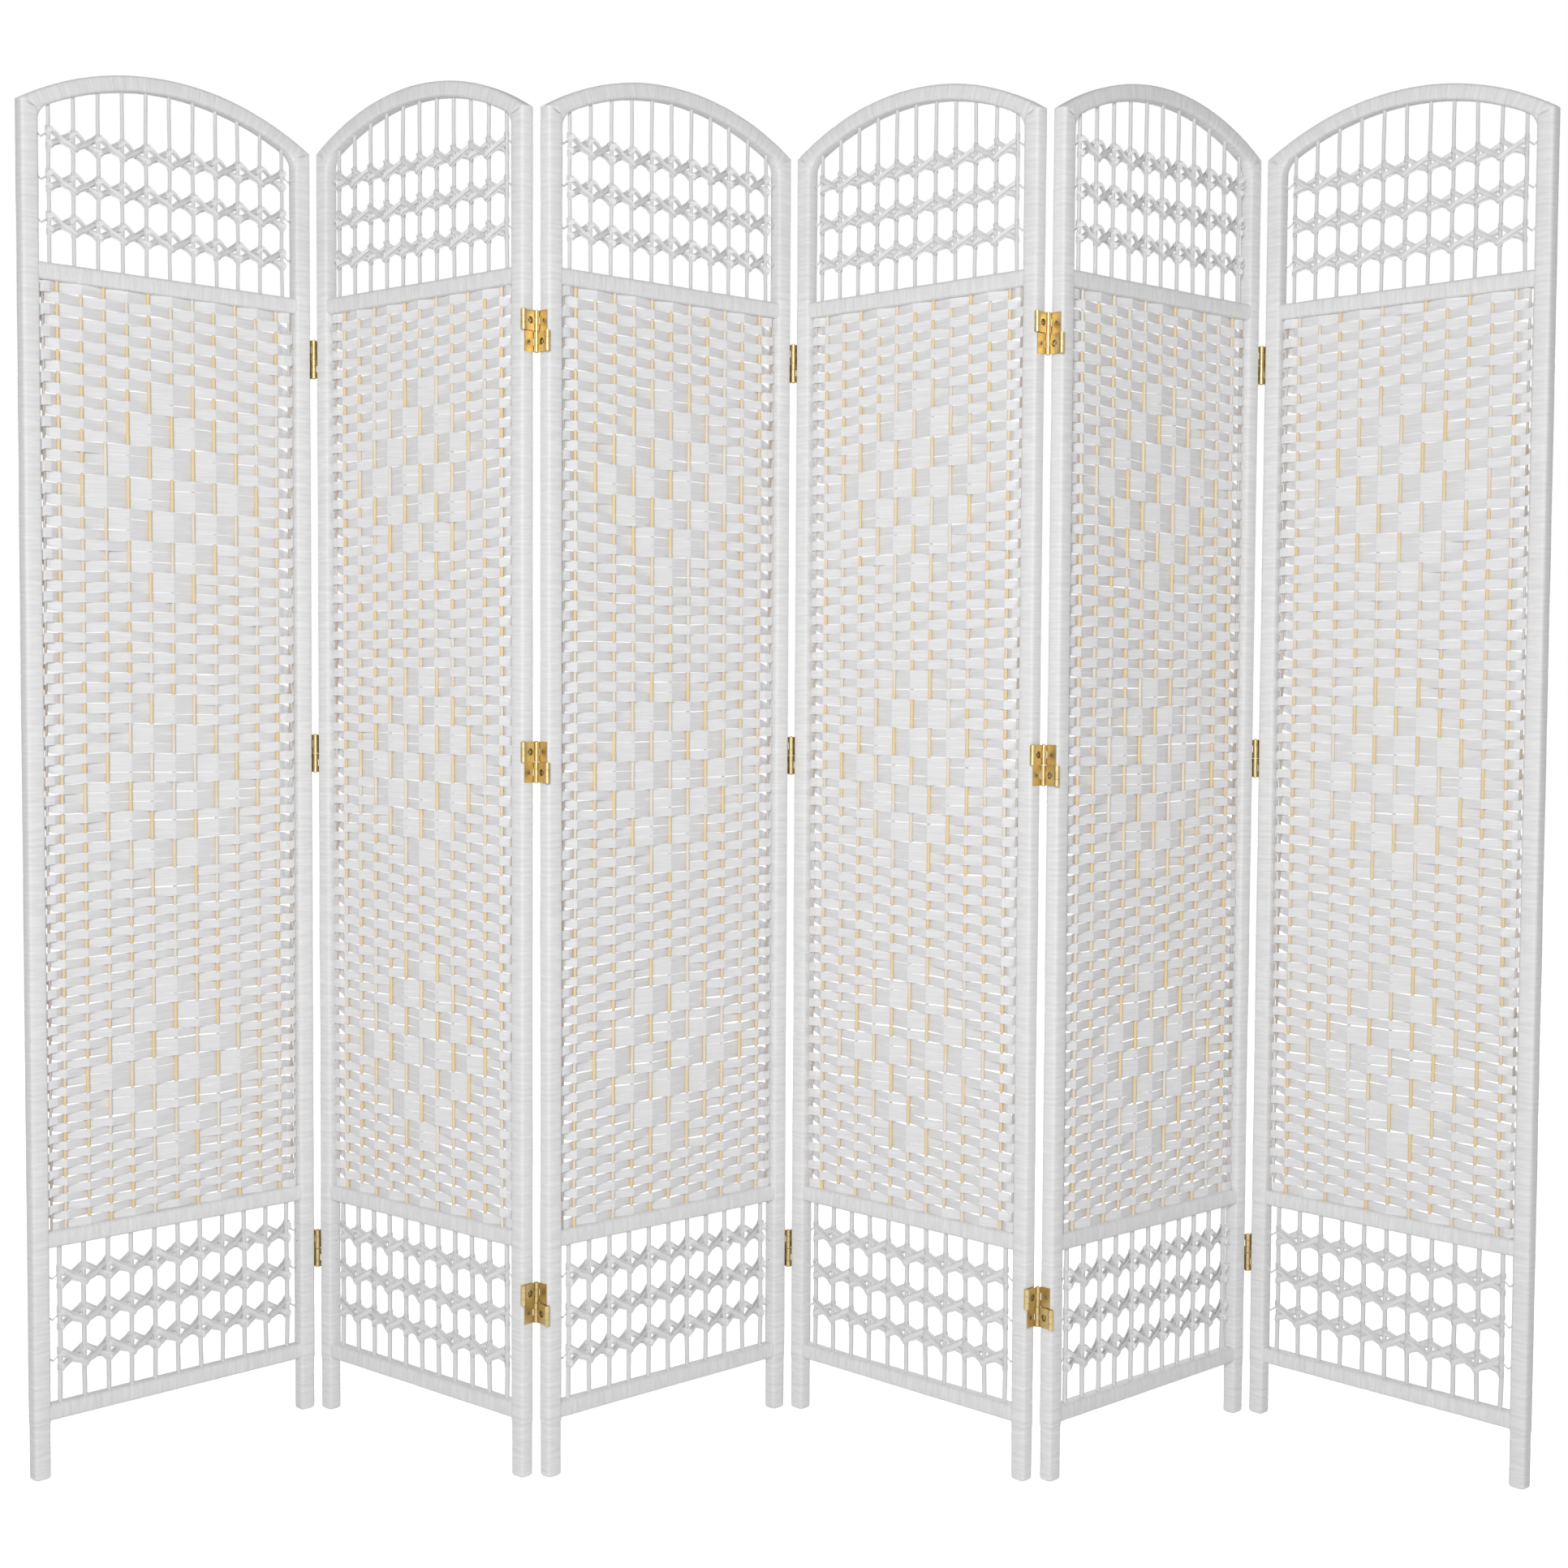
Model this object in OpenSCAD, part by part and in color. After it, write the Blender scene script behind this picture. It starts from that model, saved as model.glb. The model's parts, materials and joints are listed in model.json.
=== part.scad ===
// Woven fiber folding screen of six hinged panels, in millimetres.
// X runs along the screen, the viewer stands on the -Y side, and Z is up from the floor.

/* [Panels] */
// Width of a panel over its two posts
panel_w = 400; // [340:1:460]
// Height of the outer top corner of a post
post_top_h = 1648; // [1600:1:1750]
// Rise of the arched top rail above the post corners
arch_rise = 56; // [40:1:80]
// Gap between the posts of neighbouring panels
panel_gap = 6; // [5.5:0.1:7]

/* [Posts and rails] */
// Width of a wound post, seen from the front
post_w = 22; // [18:1:28]
// Depth of a wound post
post_d = 19; // [17:0.5:24]
// Radius of the rounded edges of the posts and rails
edge_r = 4; // [2.5:0.5:5]
// Radius of the rounded foot of a post
foot_r = 2.5; // [1:0.5:4]
// Height of the cross rails
rail_h = 20; // [14:1:24]
// Depth of the cross rails
rail_d = 17; // [13:0.5:17]
// Height of the arched rail, square to its curve
arch_h = 19; // [14:1:24]
// Radius of the winding in the corner between a post and the arch
fillet_r = 8; // [4:1:14]
// Depth of that winding
fillet_d = 13; // [8:1:15]
// Clear height under the bottom rail
foot_h = 70; // [50:1:90]
// Height of the lower open lattice
low_lattice_h = 191; // [170:1:210]

/* [Woven mat] */
// Number of wooden stakes in a mat
stake_count = 11; // [11:2:13]
// Distance from a post to the axis of the first stake
stake_margin = 26; // [22:1:30]
// Distance from a post to the axis of the thin edge stake
edge_stake_in = 7; // [5:0.5:9]
// Radius of a stake
stake_r = 2.1; // [1.5:0.1:2.3]
// Radius of a thin edge stake
edge_stake_r = 1.6; // [1.2:0.1:1.8]
// Number of ribbon rows in a mat, each one and a half of the real paper ribbons high
row_count = 58; // [54:1:58]
// Distance from one ribbon row to the next
row_pitch = 19.65; // [19:0.05:20]
// Slit between two ribbon rows
row_slit = 0.5; // [0.3:0.1:1]
// Thickness of a paper ribbon
ribbon_t = 0.7; // [0.5:0.1:1]
// Clearance between a ribbon and a stake
weave_clear = 0.35; // [0.3:0.05:0.5]
// Rows of plain weave above the first diamond
plain_top = 4; // [3:1:6]
// Rows of plain weave between two diamonds
plain_between = 5; // [3:1:5]
// Number of diamonds in a mat
diamond_count = 3; // [1:1:3]
// Rows that a block of the diamond pattern keeps together
block_rows = 2; // [1:1:2]
// Blocks from the top to the bottom of a diamond
diamond_blocks = 7; // [3:2:7]

/* [Open lattices] */
// Radius of a lattice spoke
spoke_r = 2.4; // [2:0.1:3]
// Number of twined rows in a lattice
twine_rows = 3; // [2:1:3]
// Distance between twined rows
twine_pitch = 52; // [46:1:56]
// Height of the lowest twined row above its rail
twine_start = 40; // [34:1:44]
// Rise of a twined strip above and below the middle of its row
twine_amp = 11; // [8:0.5:13]
// Width of a twined strip
strip_w = 7.5; // [5:0.5:8]
// Thickness of a twined strip
strip_t = 0.7; // [0.5:0.1:1]
// Clearance between a strip and the spokes
strip_clear = 0.1; // [0.05:0.05:0.3]
// Clearance between the spokes and the arch
arch_seat = 0.3; // [0.2:0.05:0.5]

/* [Hinges] */
// Heights of the hinge centres above the floor
hinge_heights = [214, 871, 1384];
// Height of a hinge
hinge_h = 49; // [42:1:56]
// Slit between the upper and the lower half of a hinge
half_slit = 0.6; // [0.4:0.1:1]
// Distance of a hinge pin's axis in front of or behind the faces of the posts
pin_out = 1; // [0.8:0.1:1.5]
// Outer radius of the knuckles
knuckle_r = 3.4; // [3.1:0.1:3.5]
// Radius of a hinge pin
pin_r = 1.25; // [1:0.05:1.4]
// Radial clearance of a hinge pin in its knuckles
pin_clear = 0.03; // [0.02:0.01:0.05]
// Thickness of the leaves
leaf_t = 1.2; // [1:0.1:1.3]
// Thickness of the links
link_t = 1.2; // [0.8:0.1:1.4]
// Clearance along a pin between two knuckles
knuckle_slit = 0.25; // [0.2:0.05:0.4]
// Clearance between a plate and a knuckle that turns past it
plate_clear = 0.5; // [0.4:0.1:0.8]
// Radius of the hole in a link that lets a screw head through
link_hole_r = 4.2; // [3.6:0.1:4.6]
// Radius of a screw's shank
screw_r = 1.3; // [1:0.1:1.5]
// Radius of a screw's countersunk head
head_r = 2.7; // [2.2:0.1:3]
// Length of a screw in its post
screw_len = 13; // [8:1:15]
// Radial clearance of a screw in its hole
screw_clear = 0.05; // [0.03:0.01:0.1]
// Radius of a hinge pin's domed end
dome_r = 2.4; // [1.8:0.1:2.8]
// Height of a hinge pin's domed end
dome_h = 0.9; // [0.5:0.1:1.2]

/* [Folded shape] */
// Angle of panel 1 to the line of the screen
turn_1 = 46; // [20:0.5:60]
// Angle of panel 2 to the line of the screen
turn_2 = 41.5; // [20:0.5:60]
// Angle of panel 3 to the line of the screen
turn_3 = 44; // [20:0.5:60]
// Angle of panel 4 to the line of the screen
turn_4 = 45; // [20:0.5:60]
// Angle of panel 5 to the line of the screen
turn_5 = 43.5; // [20:0.5:60]
// Angle of panel 6 to the line of the screen
turn_6 = 47; // [20:0.5:60]

/* [Hidden] */
PARTS = ["posts", "arch_rail", "cross_rails", "stakes", "ribbons", "lattices",
         "hinge_leaves", "hinge_links", "hinge_pins", "hinge_screws"];
$fn = 48;

// Colours
fiber_white = [0.90, 0.90, 0.89];
paper_white = [0.95, 0.95, 0.94];
stake_tan = [0.90, 0.78, 0.52];
hinge_brass = [0.80, 0.63, 0.28];

// A cutting shape passes this far beyond the surface that it opens
over = 0.5;

// Heights of the rails and of the zones between them
inner_w = panel_w - 2 * post_w;
bottom_rail_z = foot_h;
lower_rail_z = bottom_rail_z + rail_h + low_lattice_h;
mat_z = lower_rail_z + rail_h;
mat_h = row_count * row_pitch;
upper_rail_z = mat_z + mat_h;
top_lattice_z = upper_rail_z + rail_h;

// Arch: an arc through both outer post corners
half_w = panel_w / 2;
arch_outer_r = (half_w * half_w + arch_rise * arch_rise) / (2 * arch_rise);
arch_inner_r = arch_outer_r - arch_h;
arch_z = post_top_h + arch_rise - arch_outer_r;
arch_sweep = 2 * asin(half_w / arch_outer_r);
function arch_under(x, r) = arch_z + sqrt(r * r - pow(x - half_w, 2));
mitre_z = arch_under(post_w, arch_inner_r);

// Stakes: index 0 and stake_count + 1 are the thin ones by the posts
stake_pitch = (inner_w - 2 * stake_margin) / (stake_count - 1);
last_stake = stake_count + 1;
middle_stake = last_stake / 2;
function stake_x(s) = s == 0 ? post_w + edge_stake_in
    : s == last_stake ? panel_w - post_w - edge_stake_in
    : post_w + stake_margin + (s - 1) * stake_pitch;

// Weave: true where the stake shows in front of the ribbon of a row, counted from the top
diamond_rows = block_rows * diamond_blocks;
diamond_period = diamond_rows + plain_between;
function row_in_period(row) = (row - plain_top) % diamond_period;
function in_diamond(row) = row >= plain_top
    && floor((row - plain_top) / diamond_period) < diamond_count
    && row_in_period(row) < diamond_rows;
function diamond_half(row) = let (block = floor(row_in_period(row) / block_rows))
    1 + min(block, diamond_blocks - 1 - block);
function stake_shows(row, s) =
    in_diamond(row) && abs(s - middle_stake) <= diamond_half(row)
        ? (s - middle_stake + diamond_half(row)) % 2 == 0
        : (s + row) % 2 == 0;
weave_out = stake_r + weave_clear + ribbon_t / 2;
ribbon_h = row_pitch - row_slit;
// A ribbon swings out round the edge stake, then crosses over to the first stake in one line
turn_in = edge_stake_r + weave_clear + ribbon_t;
turn_share = turn_in / (stake_margin - edge_stake_in + turn_in);
turn_out = (edge_stake_r + weave_clear + ribbon_t + weave_out * turn_share) / (1 - turn_share);
ribbon_end_in = edge_stake_in - turn_in;
function ribbon_y(row, s) =
    (stake_shows(row, s) ? 1 : -1) * (s == 0 || s == last_stake ? turn_out : weave_out);
function ribbon_stretch(row, first, last) =
    [for (s = [first:last]) [stake_x(s), ribbon_y(row, s)]];
function ribbon_line(row) = concat(
    [[post_w + ribbon_end_in, ribbon_y(row, 0)]],
    ribbon_stretch(row, 1, stake_count),
    [[panel_w - post_w - ribbon_end_in, ribbon_y(row, last_stake)]]);
// Underside of a row above the floor, and whether the next row lies tight against it in a diamond
function row_z(row) = mat_z + mat_h - (row + 1) * row_pitch + row_slit / 2;
function joins_next(row) = in_diamond(row) && row_in_period(row) % block_rows < block_rows - 1;
// Outline of a strip of thickness t along a line of points
function strip(line, t) = concat(
    [for (p = line) [p[0], p[1] + t / 2]],
    [for (i = [len(line) - 1:-1:0]) [line[i][0], line[i][1] - t / 2]]);

// Hinges
pin_y = post_d / 2 + pin_out;
plate_y = pin_y - knuckle_r - plate_clear;
half_h = (hinge_h - half_slit) / 2;
knuckle_h = (half_h - 2 * knuckle_slit) / 3;
screw_z = half_slit / 2 + half_h / 2;

// Chain of panels: creases 2 and 4 turn on their back pins, creases 1, 3 and 5 on their front pins
turns = [turn_1, turn_2, turn_3, turn_4, turn_5, turn_6];
function heading(k) = (k % 2 == 1 ? 1 : -1) * turns[k - 1];
function crease_side(k) = k % 2 == 0 ? 1 : -1;
function turned(a, p) = [p[0] * cos(a) - p[1] * sin(a), p[0] * sin(a) + p[1] * cos(a)];
right_gap_x = panel_w + panel_gap / 2;
left_gap_x = -panel_gap / 2;
function chain_at(k) = k == 1 ? [0, 0]
    : chain_at(k - 1)
      + turned(heading(k - 1), [right_gap_x, crease_side(k - 1) * pin_y])
      - turned(heading(k), [left_gap_x, crease_side(k - 1) * pin_y]);
// Circles that bound each panel in plan: the rounded post corners and the knuckles
function panel_circles(k) = concat(
    [for (x = [edge_r, panel_w - edge_r], y = [-1, 1]) [[x, y * (post_d / 2 - edge_r)], edge_r]],
    [for (x = concat(k > 1 ? [left_gap_x] : [], k < 6 ? [right_gap_x] : []), y = [-1, 1])
        [[x, y * pin_y], knuckle_r]]);
circles = [for (k = [1:6]) for (c = panel_circles(k)) [chain_at(k) + turned(heading(k), c[0]), c[1]]];
function middle(axis) = (min([for (c = circles) c[0][axis] - c[1]])
    + max([for (c = circles) c[0][axis] + c[1]])) / 2;
plan_middle = [middle(0), middle(1)];
function panel_at(k) = chain_at(k) - plan_middle;
function crease_at(k) = panel_at(k) + turned(heading(k), [right_gap_x, crease_side(k) * pin_y]);

module on_panel(k) {
    translate([panel_at(k)[0], panel_at(k)[1], 0]) rotate([0, 0, heading(k)]) children();
}

// Rounded rectangle round its own middle
module rounded(w, d, r) {
    square([w - 2 * r, d], center = true);
    square([w, d - 2 * r], center = true);
    for (x = [-1, 1], y = [-1, 1]) translate([x * (w / 2 - r), y * (d / 2 - r)]) circle(r);
}

// Front view of a shape given in x and z, made as thick as the depth d
module upright(d) {
    translate([0, d / 2, 0]) rotate([90, 0, 0]) linear_extrude(d) children();
}

// Left post: wound all round, rounded at the foot and mitred under the arch
module post_blank() {
    intersection() {
        translate([post_w / 2, 0, 0]) linear_extrude(post_top_h) rounded(post_w, post_d, edge_r);
        upright(post_d) {
            polygon([[0, foot_r], [foot_r, 0], [post_w - foot_r, 0], [post_w, foot_r],
                     [post_w, mitre_z], [0, post_top_h]]);
            for (x = [foot_r, post_w - foot_r]) translate([x, foot_r]) circle(foot_r);
        }
        rotate([90, 0, 90]) linear_extrude(post_w) {
            translate([-post_d / 2, foot_r]) square([post_d, post_top_h]);
            translate([foot_r - post_d / 2, 0]) square([post_d - 2 * foot_r, foot_r]);
            for (y = [foot_r - post_d / 2, post_d / 2 - foot_r]) translate([y, foot_r]) circle(foot_r);
        }
    }
}

// Pilot bores in a post's outer side for the hinge screws, from x = 0 inwards
module screw_bores() {
    for (h = hinge_heights, z = [-screw_z, screw_z])
        translate([-over, 0, h + z]) rotate([0, 90, 0])
            cylinder(h = screw_len + 1 + over, r = screw_r + screw_clear);
}

module posts(k) {
    color(fiber_white) on_panel(k) {
        difference() {
            post_blank();
            if (k > 1) screw_bores();
        }
        difference() {
            translate([panel_w, 0, 0]) mirror([1, 0, 0]) post_blank();
            if (k < 6) translate([panel_w, 0, 0]) mirror([1, 0, 0]) screw_bores();
        }
    }
}

// Winding that rounds the corner between the left post and the arch
module corner_winding() {
    x = post_w + fillet_r;
    z = arch_under(x, arch_inner_r - fillet_r);
    out = [x - half_w, z - arch_z] / (arch_inner_r - fillet_r);
    bite = arch_h / 4;
    tip = [half_w, arch_z] + out * (arch_inner_r + bite);
    upright(fillet_d) difference() {
        polygon([[post_w, z], [x, z], tip, [post_w, mitre_z + bite]]);
        translate([x, z]) circle(fillet_r);
    }
}

module arch_rail(k) {
    color(fiber_white) on_panel(k) intersection() {
        union() {
            translate([half_w, 0, arch_z]) rotate([90, 0, 0]) rotate([0, 0, 90 - arch_sweep / 2 - 1])
                rotate_extrude(angle = arch_sweep + 2, $fn = 96)
                    translate([arch_outer_r - arch_h / 2, 0]) rounded(arch_h, post_d, edge_r);
            corner_winding();
            translate([panel_w, 0, 0]) mirror([1, 0, 0]) corner_winding();
        }
        upright(2 * post_d) polygon([
            [0, post_top_h], [post_w, mitre_z], [post_w, mitre_z - 2 * fillet_r],
            [panel_w - post_w, mitre_z - 2 * fillet_r], [panel_w - post_w, mitre_z],
            [panel_w, post_top_h], [panel_w, post_top_h + 2 * arch_rise], [0, post_top_h + 2 * arch_rise]]);
    }
}

module cross_rails(k) {
    color(fiber_white) on_panel(k)
        for (z = [bottom_rail_z, lower_rail_z, upper_rail_z])
            translate([post_w, 0, z + rail_h / 2]) rotate([90, 0, 90])
                linear_extrude(inner_w) rounded(rail_d, rail_h, edge_r);
}

module stakes(k) {
    color(stake_tan) on_panel(k)
        for (s = [0:last_stake])
            translate([stake_x(s), 0, mat_z])
                cylinder(h = mat_h, r = s == 0 || s == last_stake ? edge_stake_r : stake_r, $fn = 24);
}

// Woven mat: one ribbon that turns round an edge stake at the end of each row
module ribbons(k) {
    left_end = post_w + ribbon_end_in;
    right_end = panel_w - post_w - ribbon_end_in - ribbon_t;
    turn_d = 2 * turn_out + ribbon_t;
    color(paper_white) on_panel(k) {
        for (row = [0:row_count - 1])
            translate([0, 0, row_z(row)])
                linear_extrude(ribbon_h) polygon(strip(ribbon_line(row), ribbon_t));
        for (row = [0:row_count - 2])
            translate([row % 2 == 0 ? right_end : left_end, -turn_d / 2, row_z(row + 1)])
                cube([ribbon_t, turn_d, row_pitch + ribbon_h]);
        for (row = [0:row_count - 1]) if (joins_next(row)) {
            reach = diamond_half(row);
            translate([0, 0, row_z(row) - row_slit]) linear_extrude(row_slit)
                polygon(strip(ribbon_stretch(row, middle_stake - reach, middle_stake + reach), ribbon_t));
        }
    }
}

// Zigzag of a twined strip in front view: low at the spokes that have its parity, high at the others
function twine_x(s) = s == 0 ? post_w : s == last_stake ? panel_w - post_w : stake_x(s);
function twine_line(parity) =
    [for (s = [0:last_stake]) [twine_x(s), (s % 2 == parity ? -1 : 1) * twine_amp]];

// Twined strips of a lattice on the front (side -1) or the back (side 1) of its spokes
module twined_strips(z, side) {
    translate([0, side * (spoke_r + strip_clear + strip_t / 2), 0]) upright(strip_t)
        for (row = [0:twine_rows - 1])
            translate([0, z + twine_start + row * twine_pitch])
                polygon(strip(twine_line(side > 0 ? 1 : 0), strip_w));
}

module spoke(s, z, h) {
    translate([stake_x(s), 0, z]) cylinder(h = h, r = spoke_r, $fn = 24);
}

module lattices(k) {
    color(paper_white) on_panel(k) {
        for (s = [1:stake_count]) spoke(s, bottom_rail_z + rail_h, low_lattice_h);
        intersection() {
            for (s = [1:stake_count])
                spoke(s, top_lattice_z, post_top_h + arch_rise - top_lattice_z);
            translate([half_w, post_d, arch_z]) rotate([90, 0, 0])
                cylinder(h = 2 * post_d, r = arch_inner_r - arch_seat, $fn = 96);
        }
        for (z = [bottom_rail_z + rail_h, top_lattice_z], side = [-1, 1]) twined_strips(z, side);
    }
}

// Knuckle number n of three, counted from the middle of the hinge, in its upper or lower half
module knuckle(n, side, half) {
    z = half_slit / 2 + n * (knuckle_h + knuckle_slit);
    translate([0, side * pin_y, half > 0 ? z : -z - knuckle_h]) cylinder(h = knuckle_h, r = knuckle_r);
}

// Tongue of a plate that reaches from x to x + t and joins it to a knuckle
module tongue(n, side, half, x, t) {
    z = half_slit / 2 + n * (knuckle_h + knuckle_slit);
    translate([x, side > 0 ? plate_y - over : -pin_y, half > 0 ? z : -z - knuckle_h])
        cube([t, pin_y - plate_y + over, knuckle_h]);
}

module pin_bores() {
    for (side = [-1, 1])
        translate([0, side * pin_y, -hinge_h]) cylinder(h = 2 * hinge_h, r = pin_r + pin_clear);
}

// Leaf on the side of a left-hand panel's right post, with the hinge's middle at the origin:
// its knuckles are on the front pin in the upper half and on the back pin in the lower half
module leaf() {
    x = -panel_gap / 2;
    difference() {
        union() {
            translate([x, -plate_y, -hinge_h / 2]) cube([leaf_t, 2 * plate_y, hinge_h]);
            for (half = [-1, 1], n = [0, 2]) {
                knuckle(n, -half, half);
                tongue(n, -half, half, x, leaf_t);
            }
        }
        pin_bores();
        for (z = [-screw_z, screw_z])
            translate([x, 0, z]) rotate([0, 90, 0]) {
                cylinder(h = leaf_t + over, r1 = screw_r + screw_clear,
                         r2 = head_r + screw_clear + (head_r - screw_r) * over / leaf_t);
                translate([0, 0, -over]) cylinder(h = 2 * over, r = screw_r + screw_clear);
            }
    }
}

// Link between the front and the back pin of the upper or lower half
module link(half) {
    z = half > 0 ? half_slit / 2 : -half_slit / 2 - half_h;
    difference() {
        union() {
            translate([-link_t / 2, -plate_y, z]) cube([link_t, 2 * plate_y, half_h]);
            for (side = [-1, 1]) {
                knuckle(1, side, half);
                tongue(1, side, half, -link_t / 2, link_t);
            }
        }
        pin_bores();
        translate([-link_t, 0, half * screw_z]) rotate([0, 90, 0])
            cylinder(h = 2 * link_t, r = link_hole_r);
    }
}

// Pin of one half of a hinge, with a domed outer end
module pin(side, half) {
    translate([0, side * pin_y, 0]) mirror([0, 0, half > 0 ? 0 : 1]) {
        translate([0, 0, half_slit / 2]) cylinder(h = half_h, r = pin_r);
        translate([0, 0, hinge_h / 2]) cylinder(h = dome_h, r1 = dome_r, r2 = dome_r - dome_h);
    }
}

// Countersunk screw through a leaf on the left post, its head at the gap
module screw(half) {
    tip = 2 * screw_r;
    translate([-panel_gap / 2, 0, half * screw_z]) rotate([0, 90, 0]) {
        cylinder(h = leaf_t, r1 = screw_r, r2 = head_r);
        translate([0, 0, tip - screw_len]) cylinder(h = screw_len - tip, r = screw_r);
        translate([0, 0, -screw_len]) cylinder(h = tip, r1 = screw_r / 4, r2 = screw_r);
    }
}

// The hinges at the right edge of panel k, which its neighbour shares
module on_right_gap(k) {
    if (k < 6) on_panel(k) for (h = hinge_heights) translate([right_gap_x, 0, h]) children();
}

// The hinges at the left edge of panel k
module on_left_gap(k) {
    if (k > 1) on_panel(k) for (h = hinge_heights) translate([left_gap_x, 0, h]) children();
}

module hinge_leaves(k) {
    color(hinge_brass) {
        on_right_gap(k) leaf();
        on_left_gap(k) rotate([0, 0, 180]) leaf();
    }
}

// A crease that turns on its back pins keeps the upper link with its left panel
module hinge_links(k) {
    color(hinge_brass) {
        on_right_gap(k) link(crease_side(k));
        on_left_gap(k) link(-crease_side(k - 1));
    }
}

// A panel carries the pins that its own leaves hold
module hinge_pins(k) {
    color(hinge_brass) {
        on_right_gap(k) for (half = [-1, 1]) pin(-half, half);
        on_left_gap(k) for (half = [-1, 1]) pin(half, half);
    }
}

module hinge_screws(k) {
    color(hinge_brass) {
        on_right_gap(k) for (half = [-1, 1]) screw(half);
        on_left_gap(k) rotate([0, 0, 180]) for (half = [-1, 1]) screw(half);
    }
}

module show(part, k) {
    if (part == "posts") posts(k);
    if (part == "arch_rail") arch_rail(k);
    if (part == "cross_rails") cross_rails(k);
    if (part == "stakes") stakes(k);
    if (part == "ribbons") ribbons(k);
    if (part == "lattices") lattices(k);
    if (part == "hinge_leaves") hinge_leaves(k);
    if (part == "hinge_links") hinge_links(k);
    if (part == "hinge_pins") hinge_pins(k);
    if (part == "hinge_screws") hinge_screws(k);
}

for (k = [1:6]) for (part = PARTS)
    show(part, k);

echo(creases = [for (k = [1:5]) crease_at(k)]);
echo(panels = [for (k = [1:6]) panel_at(k)], rest_turns = [for (k = [1:5]) turns[k - 1] + turns[k]]);
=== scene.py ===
import json
import math

import bmesh
import bpy
from mathutils import Matrix, Vector, noise


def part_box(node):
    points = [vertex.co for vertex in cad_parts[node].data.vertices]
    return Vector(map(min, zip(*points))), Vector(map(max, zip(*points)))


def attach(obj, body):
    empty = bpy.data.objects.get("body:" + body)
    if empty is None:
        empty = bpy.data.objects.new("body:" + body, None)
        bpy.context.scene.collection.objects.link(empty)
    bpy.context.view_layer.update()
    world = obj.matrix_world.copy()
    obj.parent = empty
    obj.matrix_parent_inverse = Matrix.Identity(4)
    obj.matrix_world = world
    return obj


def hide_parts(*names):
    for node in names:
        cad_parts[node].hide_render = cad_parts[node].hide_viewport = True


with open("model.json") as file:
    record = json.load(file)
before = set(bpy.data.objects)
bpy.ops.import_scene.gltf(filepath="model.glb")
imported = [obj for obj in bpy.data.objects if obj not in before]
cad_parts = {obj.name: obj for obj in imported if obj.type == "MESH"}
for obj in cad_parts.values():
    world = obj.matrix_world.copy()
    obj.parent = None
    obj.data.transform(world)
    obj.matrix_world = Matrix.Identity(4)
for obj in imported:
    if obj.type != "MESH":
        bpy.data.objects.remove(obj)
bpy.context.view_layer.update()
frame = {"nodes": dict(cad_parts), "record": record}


# Panels
# Six equal panels stand in a zigzag, each hinged to the next. Every piece is modelled once in a
# panel's own frame, with x across it from the outer face of its left post, y through it towards
# the back and z up from the floor, and is then hung in each panel at the place of its two feet.
PANELS = range(1, 7)
PANEL_WIDTH = 0.4
POST_WIDTH = 0.022
feet = {mount["name"]: Vector(mount["pos_m"]) for mount in frame["record"]["mounts"]}


def panel_place(panel):
    left = feet[f"foot_{panel}_left"]
    right = feet[f"foot_{panel}_right"]
    across = (right - left).normalized()
    corner = left - across * POST_WIDTH / 2
    return Matrix.Translation(corner) @ Matrix.Rotation(math.atan2(across.y, across.x), 4, "Z")


def copy_of(model, name):
    piece = bpy.data.objects.new(name, model.data.copy())
    bpy.context.collection.objects.link(piece)
    return piece


def hang(model, panel, name):
    piece = copy_of(model, f"panel_{panel}_{name}")
    piece.data.transform(panel_place(panel))
    return piece


def put_away(*models):
    for model in models:
        bpy.data.objects.remove(model)


def work_on(piece):
    bpy.ops.object.select_all(action="DESELECT")
    piece.select_set(True)
    bpy.context.view_layer.objects.active = piece


def join(pieces):
    work_on(pieces[0])
    for piece in pieces:
        piece.select_set(True)
    bpy.ops.object.join()
    return bpy.context.object


def pick(piece, kind, wanted):
    bpy.ops.mesh.select_mode(type=kind)
    bpy.ops.mesh.select_all(action="DESELECT")
    shape = bmesh.from_edit_mesh(piece.data)
    for part in {"VERT": shape.verts, "EDGE": shape.edges, "FACE": shape.faces}[kind]:
        if wanted(part):
            part.select_set(True)
    shape.select_flush_mode()
    bmesh.update_edit_mesh(piece.data)


# Winding
# The poles are wound closely with twisted white paper cord, and only the cord shows. One turn is
# modelled as a ring with a belly, and the turns are laid one on the next along the pole.
CORD_PITCH = 0.0018
CORD_BELLY = 0.0003
EDGE_RADIUS = 0.004
EDGE_STEPS = 3
TURN_IN_UV = 0.001
TURN_UNEVEN = 0.00018
POLE_UNEVEN = 0.0003
SUNK_TURN = 0.00025
SUNK_ABOVE = 0.93
TURN_STEP = 0.71
POLE_STEP = 0.03
SUNK_STEP = 0.9
BUMP_STRENGTH = 0.8
CORD_SHADE = (0.72, 0.72, 0.73)
CORD_WHITE = (0.99, 0.99, 0.99)
CORD_FIBRES = 0.0002


def runs_up(edge):
    return abs(edge.verts[0].co.z - edge.verts[1].co.z) > CORD_PITCH / 2


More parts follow.
